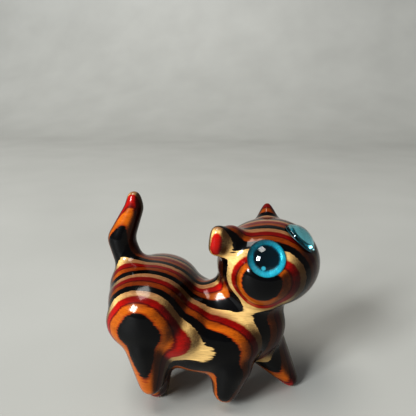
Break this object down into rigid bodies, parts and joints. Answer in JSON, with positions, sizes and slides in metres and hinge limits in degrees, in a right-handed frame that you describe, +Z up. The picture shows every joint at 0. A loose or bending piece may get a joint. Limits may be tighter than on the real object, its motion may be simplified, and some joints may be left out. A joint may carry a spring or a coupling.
{
  "type": "cat figurine",
  "caption": "Small glossy cat figurine carved from glued layers of dyed wood veneer, standing with its tail up and its head turned to one side, with domed glass eyes.",
  "frame": {"origin": "on the ground under the middle of the figurine, on the glue line in the middle of the laminated block", "axes": "+X the way the body faces, +Y the cat's left and square to the plies, +Z up"},
  "size_m": [0.0628, 0.0368, 0.0608],
  "materials": {
    "veneer_black": "clear gloss lacquer",
    "veneer_orange": "clear gloss lacquer",
    "veneer_red": "clear gloss lacquer",
    "veneer_cream": "clear gloss lacquer",
    "eye_glass": "polished",
    "printed_iris": "printed"
  },
  "bodies": {
    "root": {"ply_01_black": "veneer_black", "ply_02_orange": "veneer_orange", "ply_03_red": "veneer_red", "ply_04_cream": "veneer_cream", "ply_05_black": "veneer_black", "ply_06_orange": "veneer_orange", "ply_07_red": "veneer_red", "ply_08_cream": "veneer_cream", "ply_09_black": "veneer_black", "ply_10_orange": "veneer_orange", "ply_11_red": "veneer_red", "ply_12_cream": "veneer_cream", "ply_13_black": "veneer_black", "ply_14_orange": "veneer_orange", "ply_15_red": "veneer_red", "ply_16_cream": "veneer_cream", "ply_17_black": "veneer_black", "ply_18_orange": "veneer_orange", "ply_19_red": "veneer_red", "ply_20_cream": "veneer_cream", "ply_21_black": "veneer_black", "ply_22_orange": "veneer_orange", "ply_23_red": "veneer_red", "ply_24_cream": "veneer_cream", "ply_25_black": "veneer_black", "ply_26_orange": "veneer_orange", "right_eye_glass": "eye_glass", "left_eye_glass": "eye_glass", "right_iris": "printed_iris", "left_iris": "printed_iris"}
  },
  "joints": []
}
